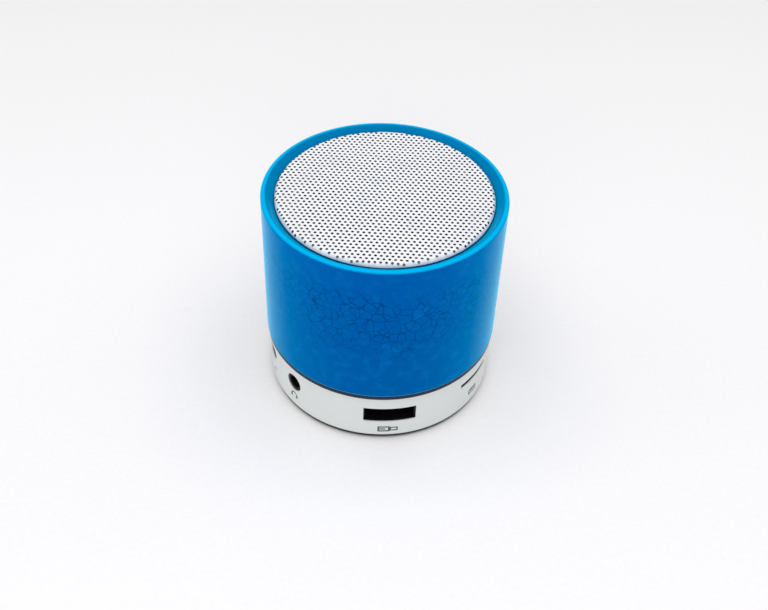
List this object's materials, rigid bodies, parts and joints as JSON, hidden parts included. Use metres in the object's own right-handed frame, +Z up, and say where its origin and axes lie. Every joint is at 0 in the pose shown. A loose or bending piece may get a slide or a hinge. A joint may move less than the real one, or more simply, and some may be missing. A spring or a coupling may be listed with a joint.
{
  "type": "portable wireless speaker",
  "caption": "Small drum-shaped wireless speaker with a perforated top grille and a ring of sockets, keys and a power switch round its base.",
  "frame": {"origin": "centre of the rubber pad's underside, where the speaker stands", "axes": "+Z up along the drum's axis to the grille; -Y out of the USB socket; +X to the right when the USB socket is seen from the front"},
  "size_m": [0.06, 0.06, 0.0569],
  "materials": {
    "drum_lacquer": "glossy clear coat over a blue crackle print",
    "grille_paint": "white powder coat on perforated steel",
    "white_abs": "satin moulded white",
    "housing_abs": "plain moulded white",
    "black_abs": "fine-grained black",
    "seam_abs": "dark blue-grey gloss",
    "black_rubber": "matte black rubber",
    "foam": "closed-cell black foam",
    "card_board": "brown pressed card",
    "phenolic": "brown laminate with tinned tags",
    "black_steel": "satin black on pressed steel",
    "ferrite": "dark sintered ferrite",
    "zinc_steel": "zinc plated, turned",
    "copper_wire": "enamelled copper winding",
    "paper_cone": "black felted paper",
    "spider_cloth": "corrugated impregnated cloth",
    "zinc_screws": "bright zinc plate",
    "black_screws": "black oxide",
    "lead_pvc": "soft red and black sleeves",
    "board_green": "green solder mask",
    "tin_plate": "folded tin-plated steel",
    "gold_contact": "gold-flashed contacts",
    "socket_black": "black moulded nylon",
    "led_lens": "clear diffusing lens",
    "chip_epoxy": "black moulding compound with tinned legs",
    "can_aluminium": "sleeved aluminium cans",
    "pouch_foil": "matt pouch foil",
    "plug_nylon": "natural nylon"
  },
  "bodies": {
    "speaker": {"outer_shell": "drum_lacquer", "grille": "grille_paint", "driver_housing": "housing_abs", "driver_gasket": "foam", "driver_basket": "black_steel", "magnet": "ferrite", "top_plate": "zinc_steel", "yoke": "zinc_steel", "surround": "black_rubber", "spider": "spider_cloth", "front_gasket": "card_board", "terminal_board": "phenolic", "driver_screws": "zinc_screws", "speaker_leads": "lead_pvc", "seam_ring": "seam_abs", "base_ring": "white_abs", "bottom_cover": "black_abs", "rubber_pad": "black_rubber", "cover_screws": "black_screws", "housing_screws": "zinc_screws", "circuit_board": "board_green", "board_screws": "zinc_screws", "usb_shell": "black_steel", "usb_tongue": "socket_black", "usb_contacts": "gold_contact", "jack_body": "socket_black", "jack_contacts": "gold_contact", "card_shell": "tin_plate", "card_base": "socket_black", "charge_shell": "tin_plate", "charge_tongue": "socket_black", "switch_frame": "tin_plate", "tact_switches": "socket_black", "microphone": "tin_plate", "status_led": "led_lens", "radio_chip": "chip_epoxy", "amplifier_chip": "chip_epoxy", "capacitors": "can_aluminium", "crystal": "tin_plate", "inductor": "chip_epoxy", "battery": "pouch_foil", "battery_tape": "foam", "battery_socket": "plug_nylon", "battery_plug": "plug_nylon", "battery_leads": "lead_pvc"},
    "moving_coil": {"voice_coil": "copper_wire", "cone": "paper_cone", "dust_cap": "paper_cone"},
    "previous_button": {"previous_key": "white_abs", "previous_plunger": "socket_black"},
    "play_button": {"play_key": "white_abs", "play_plunger": "socket_black"},
    "next_button": {"next_key": "white_abs", "next_plunger": "socket_black"},
    "power_knob": {"switch_slider": "black_abs"}
  },
  "joints": [
    {"name": "cone_travel", "type": "slide", "parent": "speaker", "child": "moving_coil", "axis": [0, 0, 1], "range_m": [-0.001, 0.001], "stiffness_N_per_m": 1200, "deforming": ["surround", "spider"]},
    {"name": "previous_press", "type": "slide", "parent": "speaker", "child": "previous_button", "axis": [-0.4384, -0.8988, 0], "range_m": [0, 0.00035], "stiffness_N_per_m": 4000},
    {"name": "play_press", "type": "slide", "parent": "speaker", "child": "play_button", "axis": [0, -1, 0], "range_m": [0, 0.00035], "stiffness_N_per_m": 4000},
    {"name": "next_press", "type": "slide", "parent": "speaker", "child": "next_button", "axis": [0.4384, -0.8988, 0], "range_m": [0, 0.00035], "stiffness_N_per_m": 4000},
    {"name": "power_slide", "type": "slide", "parent": "speaker", "child": "power_knob", "axis": [-0.1392, 0.9903, 0], "range_m": [0, 0.002]}
  ]
}
